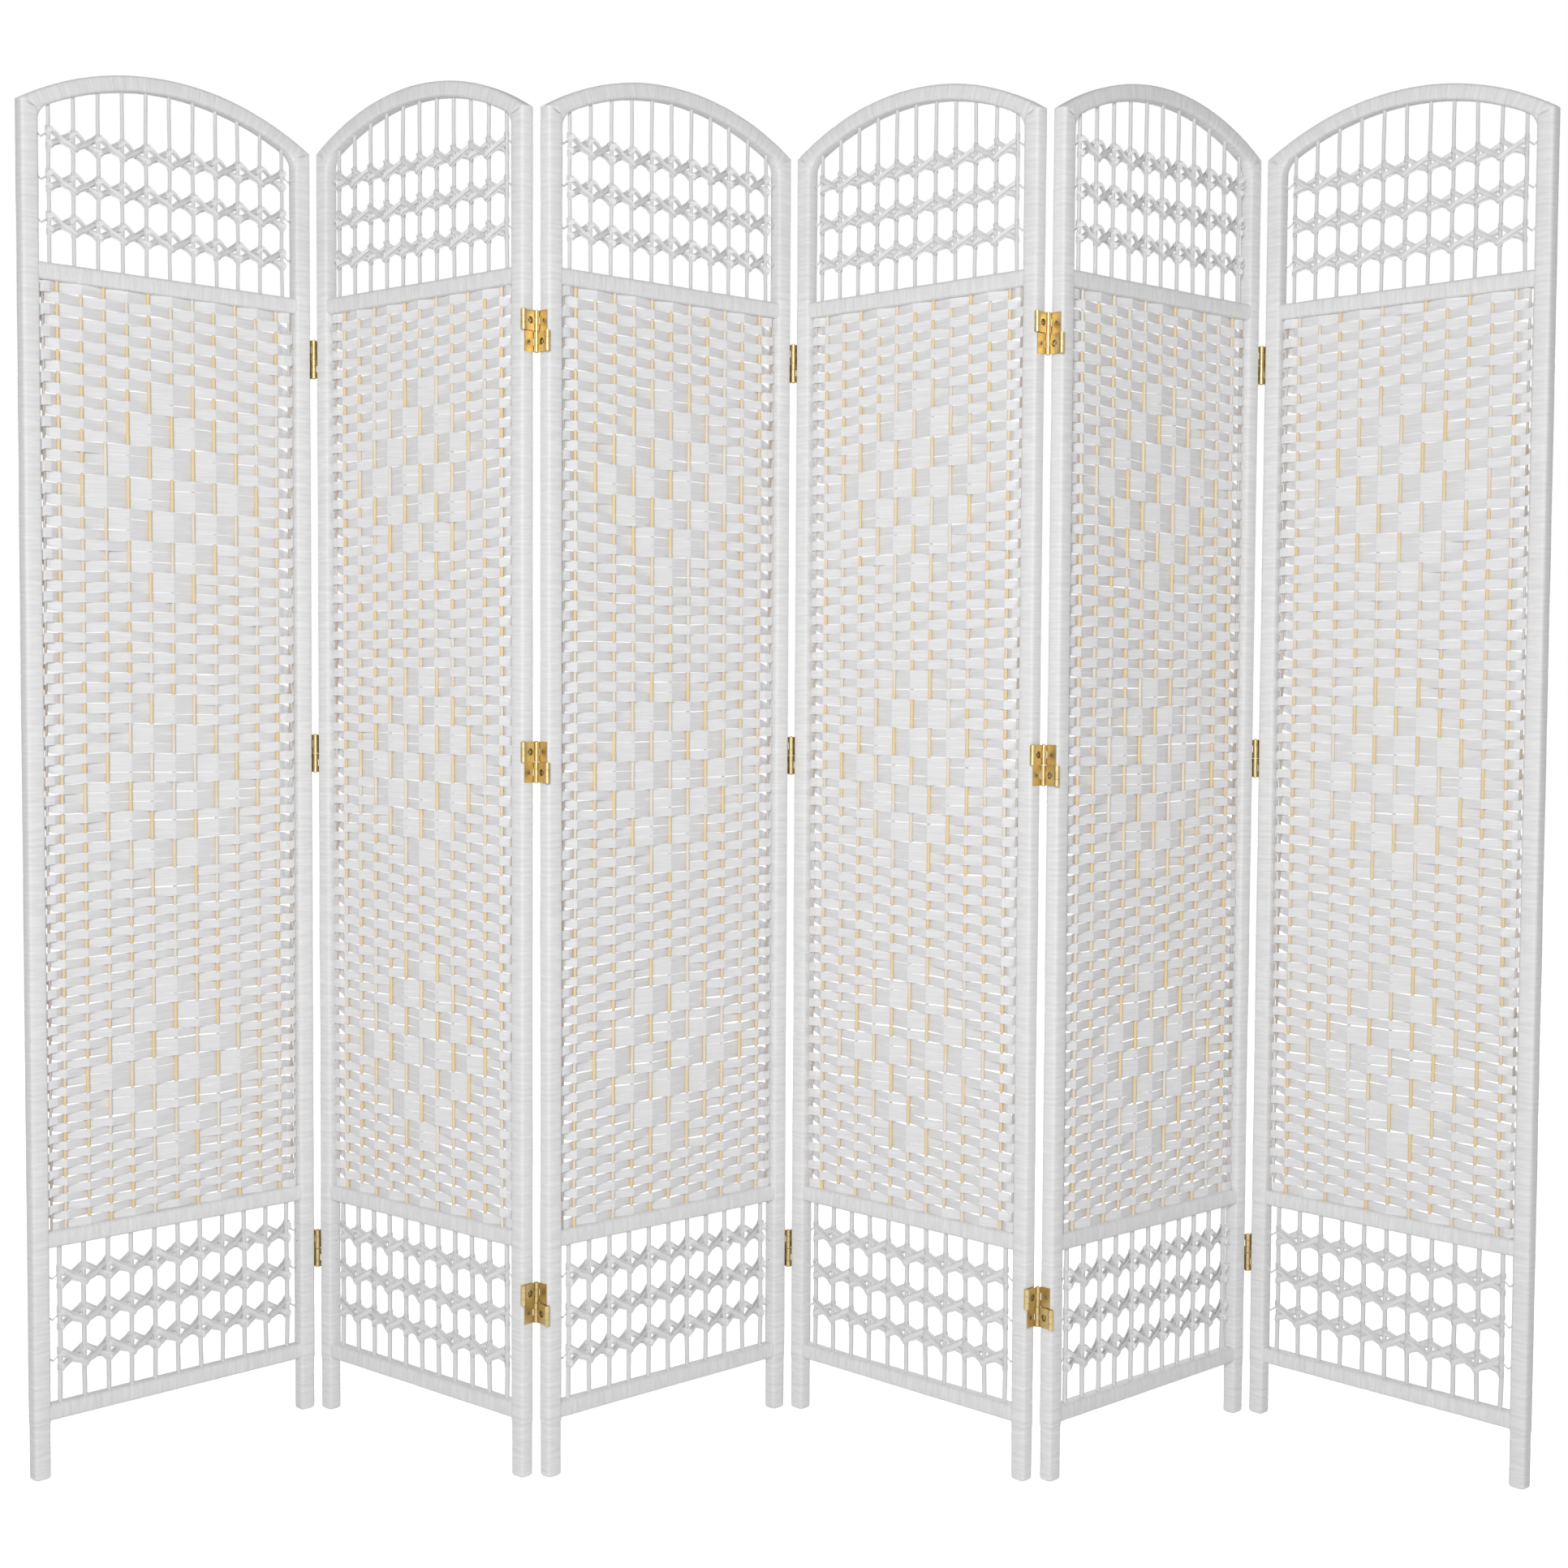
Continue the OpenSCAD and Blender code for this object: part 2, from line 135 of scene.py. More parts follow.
def turn_of_cord(width, depth):
    bpy.ops.object.select_all(action="DESELECT")
    bpy.ops.mesh.primitive_cube_add(size=1)
    turn = bpy.context.object
    turn.scale = (width - CORD_BELLY, depth - CORD_BELLY, CORD_PITCH)
    bpy.ops.object.transform_apply(location=False, rotation=False, scale=True)
    bpy.ops.object.mode_set(mode="EDIT")
    pick(turn, "FACE", lambda face: abs(face.normal.z) > 0.5)
    bpy.ops.mesh.delete(type="ONLY_FACE")
    pick(turn, "EDGE", runs_up)
    bpy.ops.mesh.bevel(offset=EDGE_RADIUS, segments=EDGE_STEPS, affect="EDGES")
    pick(turn, "EDGE", runs_up)
    bpy.ops.mesh.subdivide(number_cuts=1)
    pick(turn, "VERT", lambda vert: abs(vert.co.z) < CORD_PITCH / 10)
    belly = (1 + 2 * CORD_BELLY / width, 1 + 2 * CORD_BELLY / depth, 1)
    bpy.ops.transform.resize(value=belly, center_override=(0, 0, 0))
    bpy.ops.object.mode_set(mode="OBJECT")
    unroll(turn)
    return turn


# The winding's UV map: once round the pole is 1 across, and each turn is one step up
def unroll(turn):
    layer = turn.data.uv_layers.active or turn.data.uv_layers.new(name="winding")
    for face in turn.data.polygons:
        middle = math.atan2(face.center.y, face.center.x)
        for corner in face.loop_indices:
            point = turn.data.vertices[turn.data.loops[corner].vertex_index].co
            angle = math.atan2(point.y, point.x)
            angle += math.tau * round((middle - angle) / math.tau)
            layer.data[corner].uv = (angle / math.tau, (point.z / CORD_PITCH + 0.5) * TURN_IN_UV)


def lay_turns(turn, count, step=None, pivot=None):
    work_on(turn)
    turns = turn.modifiers.new("turns", "ARRAY")
    turns.count = count
    turns.use_relative_offset = False
    turns.use_constant_offset = step is not None
    if step is not None:
        turns.constant_offset_displace = step
    turns.use_object_offset = pivot is not None
    turns.offset_object = pivot
    turns.use_merge_vertices = True
    turns.merge_threshold = CORD_PITCH / 20
    turns.offset_v = TURN_IN_UV
    bpy.ops.object.modifier_apply(modifier="turns")


# No two turns are equally tight, and here and there one has sunk between its neighbours
def wind_by_hand(piece, seed):
    layer = piece.data.uv_layers.active
    heights = [0.0] * len(piece.data.vertices)
    for loop, uv in zip(piece.data.loops, layer.data):
        heights[loop.vertex_index] = uv.uv.y / TURN_IN_UV
    outward = [vert.normal.copy() for vert in piece.data.vertices]
    for vert, height, normal in zip(piece.data.vertices, heights, outward):
        each = noise.noise(Vector((round(height) * TURN_STEP, seed, 0.5)))
        slow = noise.noise(Vector((height * POLE_STEP, seed, 7.5)))
        sunk = noise.cell(Vector((round(height) * SUNK_STEP, seed, 3.5))) > SUNK_ABOVE
        vert.co += normal * (TURN_UNEVEN * each + POLE_UNEVEN * slow - SUNK_TURN * sunk)


def saw(piece, point, away, close):
    work_on(piece)
    bpy.ops.object.mode_set(mode="EDIT")
    bpy.ops.mesh.select_mode(type="VERT")
    bpy.ops.mesh.select_all(action="SELECT")
    bpy.ops.mesh.bisect(plane_co=point, plane_no=away, clear_outer=True, use_fill=close)
    bpy.ops.object.mode_set(mode="OBJECT")


def finish_of(name, roughness):
    material = bpy.data.materials.new(name)
    material.use_nodes = True
    surface = material.node_tree.nodes["Principled BSDF"]
    surface.inputs["Roughness"].default_value = roughness
    return material, material.node_tree, surface


def grain(shader, source, stretch, scale, detail=3):
    place = shader.nodes.new("ShaderNodeTexCoord")
    run = shader.nodes.new("ShaderNodeMapping")
    run.inputs["Scale"].default_value = stretch
    pattern = shader.nodes.new("ShaderNodeTexNoise")
    pattern.inputs["Scale"].default_value = scale
    pattern.inputs["Detail"].default_value = detail
    shader.links.new(place.outputs[source], run.inputs["Vector"])
    shader.links.new(run.outputs["Vector"], pattern.inputs["Vector"])
    return pattern.outputs["Fac"]


def paint(shader, surface, tone, dark, light):
    mix = shader.nodes.new("ShaderNodeMix")
    mix.data_type = "RGBA"
    mix.inputs["A"].default_value = (*dark, 1)
    mix.inputs["B"].default_value = (*light, 1)
    shader.links.new(tone, mix.inputs["Factor"])
    shader.links.new(mix.outputs["Result"], surface.inputs["Base Color"])


def emboss(shader, surface, height, depth):
    bump = shader.nodes.new("ShaderNodeBump")
    bump.inputs["Strength"].default_value = BUMP_STRENGTH
    bump.inputs["Distance"].default_value = depth
    shader.links.new(height, bump.inputs["Height"])
    shader.links.new(bump.outputs["Normal"], surface.inputs["Normal"])


def dress(piece, material, sharp=None):
    piece.data.materials.append(material)
    work_on(piece)
    if sharp is None:
        bpy.ops.object.shade_smooth()
    else:
        bpy.ops.object.shade_smooth_by_angle(angle=math.radians(sharp))


wound_cord, shader, surface = finish_of("wound_paper_cord", roughness=0.62)
turn_tone = grain(shader, "UV", stretch=(4, 1000, 1), scale=0.5)
fibre_tone = grain(shader, "UV", stretch=(60, 3000, 1), scale=1, detail=4)
paint(shader, surface, turn_tone, CORD_SHADE, CORD_WHITE)
emboss(shader, surface, fibre_tone, CORD_FIBRES)


# Posts
# Two poles with rounded edges carry each panel. They are wound from a little above the floor to the
# mitre, where the arched rail lands on them. The winding is thinner on the feet, which are rounded.
POST_DEPTH = 0.019
POST_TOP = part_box("panel_1_posts")[1].z
FOOT_ROUND = 0.0025
FOOT_STEPS = ((0.0012, 0.93), (0.0010, 0.86))
FOOT_THINNER = 0.95
SHOULDER_DROP = 0.002
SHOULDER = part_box("panel_1_cross_rails")[0].z - SHOULDER_DROP
ARCH_HEIGHT = 0.019
ARCH_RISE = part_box("panel_1_arch_rail")[1].z - POST_TOP
HALF_WIDTH = PANEL_WIDTH / 2
ARCH_RADIUS = (HALF_WIDTH ** 2 + ARCH_RISE ** 2) / (2 * ARCH_RISE)
ARCH_CENTRE = Vector((HALF_WIDTH, 0, POST_TOP + ARCH_RISE - ARCH_RADIUS))


def under_arch(x, radius=ARCH_RADIUS - ARCH_HEIGHT):
    return ARCH_CENTRE.z + math.sqrt(radius ** 2 - (x - HALF_WIDTH) ** 2)


MITRE_LOW = under_arch(POST_WIDTH)
mitre = Vector((POST_WIDTH, 0, MITRE_LOW - POST_TOP)).normalized()
MITRE_UP = Vector((-mitre.z, 0, mitre.x))


def mirror_copy(model, name):
    piece = copy_of(model, name)
    piece.data.transform(Matrix.Translation((PANEL_WIDTH, 0, 0)) @ Matrix.Scale(-1, 4, (1, 0, 0)))
    piece.data.flip_normals()
    return piece


post = turn_of_cord(POST_WIDTH, POST_DEPTH)
post.location = (POST_WIDTH / 2, 0, FOOT_ROUND + CORD_PITCH / 2)
bpy.ops.object.transform_apply(location=True, rotation=False, scale=False)
lay_turns(post, math.ceil(POST_TOP / CORD_PITCH), step=(0, 0, CORD_PITCH))
saw(post, (0, 0, POST_TOP), MITRE_UP, close=True)
bpy.ops.object.mode_set(mode="EDIT")
pick(post, "EDGE", lambda edge: edge.is_boundary)
for drop, inward in FOOT_STEPS:
    bpy.ops.mesh.extrude_edges_move(TRANSFORM_OT_translate={"value": (0, 0, -drop)})
    bpy.ops.transform.resize(value=(inward, inward, 1), center_override=(POST_WIDTH / 2, 0, 0))
bpy.ops.mesh.edge_face_add()
pick(post, "VERT", lambda vert: vert.co.z < SHOULDER)
bpy.ops.transform.resize(value=(FOOT_THINNER, FOOT_THINNER, 1), center_override=(POST_WIDTH / 2, 0, 0))
bpy.ops.object.mode_set(mode="OBJECT")

for panel in PANELS:
    pair = [copy_of(post, "left_post"), mirror_copy(post, "right_post")]
    for side, one_post in enumerate(pair):
        wind_by_hand(one_post, 10 * panel + side)
    both_posts = join(pair)
    wound_posts = hang(both_posts, panel, "wound_posts")
    dress(wound_posts, wound_cord)
    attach(wound_posts, f"panel_{panel}")
    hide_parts(f"panel_{panel}_posts")
    put_away(both_posts)
put_away(post)


# Cross rails
# Three straight poles, wound like the posts, run between them: one above the feet, one under the
# woven mat and one over it.
RAIL_HEIGHT = 0.020
RAIL_DEPTH = 0.017
BOTTOM_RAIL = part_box("panel_1_cross_rails")[0].z
UPPER_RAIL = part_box("panel_1_cross_rails")[1].z - RAIL_HEIGHT
LOWER_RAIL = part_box("panel_1_stakes")[0].z - RAIL_HEIGHT
INNER_WIDTH = PANEL_WIDTH - 2 * POST_WIDTH
RAIL_BITE = 0.005


def lay_copy(model, lift):
    piece = copy_of(model, "length")
    piece.data.transform(Matrix.Translation((0, 0, lift)))
    return piece


rail = turn_of_cord(RAIL_HEIGHT, RAIL_DEPTH)
rail.location.z = CORD_PITCH / 2
bpy.ops.object.transform_apply(location=True, rotation=False, scale=False)
lay_turns(rail, round((INNER_WIDTH + 2 * RAIL_BITE) / CORD_PITCH), step=(0, 0, CORD_PITCH))
rail.rotation_euler.y = math.pi / 2
rail.location.x = POST_WIDTH - RAIL_BITE
bpy.ops.object.transform_apply(location=True, rotation=True, scale=False)

for panel in PANELS:
    rails = []
    for place, rail_foot in enumerate((BOTTOM_RAIL, LOWER_RAIL, UPPER_RAIL)):
        rails.append(lay_copy(rail, rail_foot + RAIL_HEIGHT / 2))
        wind_by_hand(rails[-1], 100 + 10 * panel + place)
    all_rails = join(rails)
    wound_rails = hang(all_rails, panel, "wound_rails")
    dress(wound_rails, wound_cord)
    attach(wound_rails, f"panel_{panel}")
    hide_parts(f"panel_{panel}_cross_rails")
    put_away(all_rails)
put_away(rail)


# Arched rails
# The top rail is a bent pole, wound square to its curve and mitred onto both posts. In each inner
# corner the cord is also wound round post and arch together, which rounds the corner.
CORNER_RADIUS = 0.026
CORNER_WIDTH = 0.012
CORNER_DEPTH = 0.017
ARCH_SPARE = 0.02
CORNER_SPARE = 0.2


def wind_arc(turn, radius, first, last, centre):
    turn.location.x = radius
    work_on(turn)
    bpy.ops.object.transform_apply(location=True, rotation=False, scale=False)
    step = CORD_PITCH / radius
    pivot = bpy.data.objects.new("pivot", None)
    bpy.context.collection.objects.link(pivot)
    pivot.rotation_euler.y = -step
    bpy.context.view_layer.update()
    lay_turns(turn, math.ceil((last - first) / step), pivot=pivot)
    put_away(pivot)
    turn.rotation_euler.y = -first
    turn.location = centre
    bpy.ops.object.transform_apply(location=True, rotation=True, scale=False)
    return turn


spread = math.asin(HALF_WIDTH / ARCH_RADIUS) + ARCH_SPARE
arch = wind_arc(turn_of_cord(ARCH_HEIGHT, POST_DEPTH), ARCH_RADIUS - ARCH_HEIGHT / 2,
                math.pi / 2 - spread, math.pi / 2 + spread, ARCH_CENTRE)
saw(arch, (0, 0, POST_TOP), -MITRE_UP, close=True)
saw(arch, (PANEL_WIDTH, 0, POST_TOP), Vector((MITRE_UP.x, 0, -MITRE_UP.z)), close=True)

corner_x = POST_WIDTH + CORNER_RADIUS
corner_centre = Vector((corner_x, 0, under_arch(corner_x, ARCH_RADIUS - ARCH_HEIGHT - CORNER_RADIUS)))
rise = math.atan2(corner_centre.z - ARCH_CENTRE.z, corner_centre.x - ARCH_CENTRE.x)
left_corner = wind_arc(turn_of_cord(CORNER_WIDTH, CORNER_DEPTH), CORNER_RADIUS + CORNER_WIDTH / 2,
                       rise - CORNER_SPARE, math.pi + CORNER_SPARE, corner_centre)
arch = join([arch, left_corner, mirror_copy(left_corner, "right_corner")])

for panel in PANELS:
    wound_arch = hang(arch, panel, "wound_arch")
    wind_by_hand(wound_arch, 200 + panel)
    dress(wound_arch, wound_cord)
    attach(wound_arch, f"panel_{panel}")
    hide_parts(f"panel_{panel}_arch_rail")
put_away(arch)


# Stakes
# Eleven round sticks of pale wood, washed over with white here and there, and two thin brown ones
# at the edges stand in each mat, pushed into the rails. The edge ones are painted darker than their
# wood, as painted shade for the dim gaps by the posts. No two are quite straight.
LAST_STAKE = 12
STAKE_MARGIN = 0.026
EDGE_STAKE_IN = 0.007
STAKE_RADIUS = 0.0021
EDGE_STAKE_RADIUS = 0.0016
STAKE_PITCH = (INNER_WIDTH - 2 * STAKE_MARGIN) / (LAST_STAKE - 2)
STAKE_FOOT = LOWER_RAIL + RAIL_HEIGHT
STAKE_SIDES = 12
STAKE_BEND = 0.0012
ROD_BITE = 0.001
ROD_CUTS = 10
BENDS_A_ROD = 3
SIDEWAYS_MORE = 5
WASH_EDGE = 0.16
PALE_WASH = (0.82, 0.76, 0.66)
PALE_TAN = (0.84, 0.66, 0.37)
BROWN_WASH_PAINTED_SHADE = (0.70, 0.65, 0.60)
BROWN_TAN_PAINTED_SHADE = (0.50, 0.42, 0.35)
WOOD_GRAIN = 0.0002


def stake_x(stake):
    if stake == 0:
        return POST_WIDTH + EDGE_STAKE_IN
    if stake == LAST_STAKE:
        return PANEL_WIDTH - POST_WIDTH - EDGE_STAKE_IN
    return POST_WIDTH + STAKE_MARGIN + (stake - 1) * STAKE_PITCH


# A round stick from foot to top, pushed into what holds it, and bent mostly sideways
def rod(x, radius, foot, top, sides, bend, seed):
    foot -= ROD_BITE
    top += ROD_BITE
    bpy.ops.object.select_all(action="DESELECT")
    bpy.ops.mesh.primitive_cylinder_add(vertices=sides, radius=radius, depth=1, end_fill_type="NOTHING",
                                        location=(x, 0, (foot + top) / 2))
    piece = bpy.context.object
    piece.scale.z = top - foot
    bpy.ops.object.transform_apply(location=True, rotation=False, scale=True)
    bpy.ops.object.mode_set(mode="EDIT")
    pick(piece, "EDGE", lambda edge: abs(edge.verts[0].co.z - edge.verts[1].co.z) > radius)
    bpy.ops.mesh.subdivide(number_cuts=ROD_CUTS)
    bpy.ops.object.mode_set(mode="OBJECT")
    for vert in piece.data.vertices:
        spot = Vector((seed * 1.7, (vert.co.z - foot) / (top - foot) * BENDS_A_ROD, 0.5))
        vert.co.x += bend * noise.noise(spot)
        vert.co.y += bend / SIDEWAYS_MORE * noise.noise(spot + Vector((4, 0, 0)))
    return piece


# Wood that shows through a white wash where its grain is above a level
def washed_wood(name, wash, tan, level):
    wood, shader, surface = finish_of(name, roughness=0.55)
    wood_tone = grain(shader, "Object", stretch=(90, 90, 9), scale=1)
    bare = shader.nodes.new("ShaderNodeMapRange")
    bare.inputs["From Min"].default_value = level
    bare.inputs["From Max"].default_value = level + WASH_EDGE
    shader.links.new(wood_tone, bare.inputs["Value"])
    paint(shader, surface, bare.outputs["Result"], wash, tan)
    emboss(shader, surface, wood_tone, WOOD_GRAIN)
    return wood


pale_wood = washed_wood("pale_stake_wood", PALE_WASH, PALE_TAN, level=0.40)
# The edge stakes' wood has a brown tint of its own and is painted darker still, as painted shade for the
# dim gaps by the posts where it shows
brown_wood_painted_shade = washed_wood("brown_stake_wood_painted_shade", BROWN_WASH_PAINTED_SHADE, BROWN_TAN_PAINTED_SHADE, level=0.44)
for panel in PANELS:
    rods = [rod(stake_x(stake), EDGE_STAKE_RADIUS if stake in (0, LAST_STAKE) else STAKE_RADIUS,
                STAKE_FOOT, UPPER_RAIL, STAKE_SIDES, STAKE_BEND, 20 * panel + stake)
            for stake in range(LAST_STAKE + 1)]
    for stakes, wood, name in ((join(rods[1:LAST_STAKE]), pale_wood, "pale_stakes"),
                               (join([rods[0], rods[LAST_STAKE]]), brown_wood_painted_shade, "edge_stakes")):
        standing = hang(stakes, panel, name)
        dress(standing, wood)
        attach(standing, f"panel_{panel}")
        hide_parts(f"panel_{panel}_stakes")
        put_away(stakes)


# Woven mat
# One long flat ribbon of paper goes to and fro between the posts, before and behind the stakes, and
# turns round the thin edge stake at the end of each row. Three rows kept together make a diamond.
ROWS = 95
MAT_TOP = UPPER_RAIL
MAT_HEIGHT = MAT_TOP - STAKE_FOOT
ROW_PITCH = MAT_HEIGHT / ROWS
ROW_GAP = 0.0004
RIBBON_HEIGHT = ROW_PITCH - ROW_GAP
RIBBON_THICK = 0.0006
RIBBON_OUT = 0.0033
END_FALL = 0.42 * ROW_PITCH
END_WIDER = 1.15
LEVEL_FROM_END = 0.008
LEVEL_OUT = 0.75
LEVEL_FALL = 0.3
LOOP_OUT = 0.0029
LOOP_REACH = 0.0058
LOOP_STEPS = 8
TOP_ROWS = 8
PLAIN_ROWS = 9
BLOCK_ROWS = 3
BLOCKS = 7
DIAMOND_ROWS = BLOCK_ROWS * BLOCKS
DIAMONDS = 3
# How far the rows of each panel have settled halfway up its mat, in quarters of the mat's height
SETTLE = (0.13, 0, 0.02, 0, 0.03, 0.03)
SWAY = 0.016
ROW_UNEVEN = 0.0012
FACE_UNEVEN = 0.0004
WELD = 0.00002
RIBBON_CREASE = 14
RIBBON_SHADE = (0.72, 0.72, 0.735)
RIBBON_WHITE = (0.96, 0.96, 0.97)
RIBBON_RIBS = 0.0003


# Plain rows pass before and behind by turns, and the blocks of a diamond keep three rows together
def in_front(row, stake):
    place = (row - TOP_ROWS) % (DIAMOND_ROWS + PLAIN_ROWS)
    diamond = (row - TOP_ROWS) // (DIAMOND_ROWS + PLAIN_ROWS)
    if 0 <= diamond < DIAMONDS and place < DIAMOND_ROWS:
        block = place // BLOCK_ROWS
        half = 1 + min(block, BLOCKS - 1 - block)
        if abs(stake - LAST_STAKE // 2) <= half:
            return (stake - LAST_STAKE // 2 + half) % 2 == 1
    return (stake + row) % 2 == 0


# Points of a row's middle line, and half the ribbon's height at each
def row_route(row):
    behind = not in_front(row, 0)
    side = 1 if behind else -1
    fall = END_FALL if behind else 0
    half = RIBBON_HEIGHT / 2
    wide = half * END_WIDER if behind else half
    left = stake_x(0)
    right = stake_x(LAST_STAKE)
    route = [Vector((left, side * LOOP_OUT, fall)),
             Vector((left + LEVEL_FROM_END, side * LOOP_OUT * LEVEL_OUT, LEVEL_FALL * fall))]
    halves = [wide, half]
    for stake in range(1, LAST_STAKE):
        x = stake_x(stake)
        y = -RIBBON_OUT if in_front(row, stake) else RIBBON_OUT
        if stake > 1:
            route.append(Vector((x - STAKE_PITCH / 2, (route[-1].y + y) / 2, 0)))
            halves.append(half)
        route.append(Vector((x, y, 0)))
        halves.append(half)
    route.append(Vector((right - LEVEL_FROM_END, side * LOOP_OUT * LEVEL_OUT, -LEVEL_FALL * fall)))
    route.append(Vector((right, side * LOOP_OUT, -fall)))
    return route, halves + [half, wide]


# Half a turn round an edge stake, from one row down to the next
def loop_route(stake, start, top, bottom):
    route = []
    for step in range(LOOP_STEPS + 1):
        share = step / LOOP_STEPS
        angle = start - math.pi * share
        route.append(Vector((stake_x(stake) + LOOP_REACH * math.cos(angle), LOOP_OUT * math.sin(angle),
                             top + (bottom - top) * share)))
    return route, [RIBBON_HEIGHT / 2] * len(route)


# A ribbon extruded along a route, three vertices high, with its middle bulged to the front
def pull_ribbon(route, half_heights, bulge=0):
    bpy.ops.object.select_all(action="DESELECT")
    bpy.ops.mesh.primitive_plane_add(size=1)
    ribbon = bpy.context.object
    bpy.ops.object.mode_set(mode="EDIT")
    pick(ribbon, "VERT", lambda vert: vert.co.x > 0)
    bpy.ops.mesh.delete(type="VERT")
    bpy.ops.mesh.select_all(action="SELECT")
    bpy.ops.mesh.subdivide(number_cuts=1)
    ends = sorted(bmesh.from_edit_mesh(ribbon.data).verts, key=lambda vert: vert.co.y)
    for vert, lift in zip(ends, (-1, 0, 1)):
        vert.co = route[0] + Vector((0, 0, lift * half_heights[0]))
    bpy.ops.mesh.select_mode(type="EDGE")
    bpy.ops.mesh.select_all(action="SELECT")
    for point, half in zip(route[1:], half_heights[1:]):
        bpy.ops.mesh.extrude_edges_move()
        ends = [vert for vert in bmesh.from_edit_mesh(ribbon.data).verts if vert.select]
        for vert, lift in zip(sorted(ends, key=lambda vert: vert.co.z), (-1, 0, 1)):
            vert.co = point + Vector((0, 0, lift * half))
    lengthwise = [0.0]
    for before, after in zip(route, route[1:]):
        lengthwise.append(lengthwise[-1] + (after - before).length)
    shape = bmesh.from_edit_mesh(ribbon.data)
    shape.verts.index_update()
    layer = shape.loops.layers.uv.verify()
    for face in shape.faces:
        for corner in face.loops:
            station = corner.vert.index // 3
            corner[layer].uv = (lengthwise[station], corner.vert.co.z - route[station].z)
    for vert in shape.verts:
        if vert.index % 3 == 1:
            vert.co.y -= bulge
    bmesh.update_edit_mesh(ribbon.data)
    bpy.ops.object.mode_set(mode="OBJECT")
    return ribbon


def thicken(ribbon, thickness):
    work_on(ribbon)
    paper = ribbon.modifiers.new("paper", "SOLIDIFY")
    paper.thickness = thickness
    paper.offset = 0
    bpy.ops.object.modifier_apply(modifier="paper")


row_models = {}
for row in range(ROWS):
    weave = tuple(in_front(row, stake) for stake in range(LAST_STAKE + 1))
    if weave not in row_models:
        row_models[weave] = pull_ribbon(*row_route(row))
right_loop = pull_ribbon(*loop_route(LAST_STAKE, math.pi / 2, -END_FALL, -ROW_PITCH))
left_loop = pull_ribbon(*loop_route(0, -math.pi / 2, 0, END_FALL - ROW_PITCH))
loop_models = (left_loop, right_loop)

lengths = []
for row in range(ROWS):
    row_middle = MAT_TOP - (row + 0.5) * ROW_PITCH
    weave = tuple(in_front(row, stake) for stake in range(LAST_STAKE + 1))
    lengths.append(lay_copy(row_models[weave], row_middle))
    if row < ROWS - 1:
        lengths.append(lay_copy(loop_models[row % 2], row_middle))
put_away(*row_models.values(), *loop_models)
mat = join(lengths)
bpy.ops.object.mode_set(mode="EDIT")
bpy.ops.mesh.select_all(action="SELECT")
bpy.ops.mesh.remove_doubles(threshold=WELD)
bpy.ops.mesh.normals_make_consistent(inside=False)
bpy.ops.object.mode_set(mode="OBJECT")

ribbon_paper, shader, surface = finish_of("flat_paper_ribbon", roughness=0.7)
strand_tone = grain(shader, "Object", stretch=(20, 20, 700), scale=1, detail=4)
paint(shader, surface, strand_tone, RIBBON_SHADE, RIBBON_WHITE)
emboss(shader, surface, strand_tone, RIBBON_RIBS)

# The rows settle and sway between the rails, and each has small waves of its own
for panel in PANELS:
    woven_mat = hang(mat, panel, "woven_mat")
    through = panel_place(panel).to_3x3() @ Vector((0, 1, 0))
    for vert in woven_mat.data.vertices:
        row = round((MAT_TOP - vert.co.z) / ROW_PITCH - 0.5)
        share = min(max((vert.co.z - STAKE_FOOT) / MAT_HEIGHT, 0), 1)
        spot = Vector((vert.co.x * 22, vert.co.y * 22, row * 3.7 + panel * 50))
        sway = noise.noise(Vector((vert.co.x * 9, share * 7, panel * 5.3)))
        vert.co.z += share * (1 - share) * (SWAY * sway - SETTLE[panel - 1] * MAT_HEIGHT)
        vert.co.z += ROW_UNEVEN * noise.noise(spot)
        vert.co += through * FACE_UNEVEN * noise.noise(spot + Vector((9, 0, 0)))
    thicken(woven_mat, RIBBON_THICK)
    dress(woven_mat, ribbon_paper, RIBBON_CREASE)
    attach(woven_mat, f"panel_{panel}")
    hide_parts(f"panel_{panel}_ribbons")
put_away(mat)


# Open lattices
# Above and below the mat the stakes run on as paper-covered spokes. Two strips of twisted paper cross
# between them in each row: one is low at every second spoke, the other at the spokes between. Both are
# wider under the mat, where the spokes are thicker too.
LOW_SPOKE_RADIUS = 0.0029
HIGH_SPOKE_RADIUS = 0.0023
LOW_WIDTH = 1.10
HIGH_WIDTH = 0.86
SPOKE_SIDES = 10
SPOKE_BEND = 0.0014
TWINE_ROWS = 3
TWINE_PITCH = 0.0503
LOW_START = 0.052
HIGH_START = 0.048
STRIP_OUT = 0.0034
STRIP_THICK = 0.0008
STRIP_CREASE = 50
TWIST_SHADE = (0.62, 0.62, 0.62)
TWIST_WHITE = (1.00, 1.00, 1.00)
TWIST_RIBS = 0.0005
WRAP_OVER = 0.0006
WRAP_HEIGHT = 0.0060
WRAP_RISE = 0.0102
WRAP_END = (0.75, 0.75, 1.25)
SPREAD = 1.065
TIE_HALF = 0.0011
TIE_BITE = 0.003
TIE_RISE = 0.006
TIE_SAG = 0.001
STRIP_BULGE = 0.0013
FOLD_OUT = 0.0024
FOLD_SHARE = 0.52
BETWEEN_OUT = {"over": -0.0018, "under": 0.0010}
BETWEEN_SAG = 0.0012
BETWEEN_HALF = 0.0058
PAST_SPOKE = 0.004
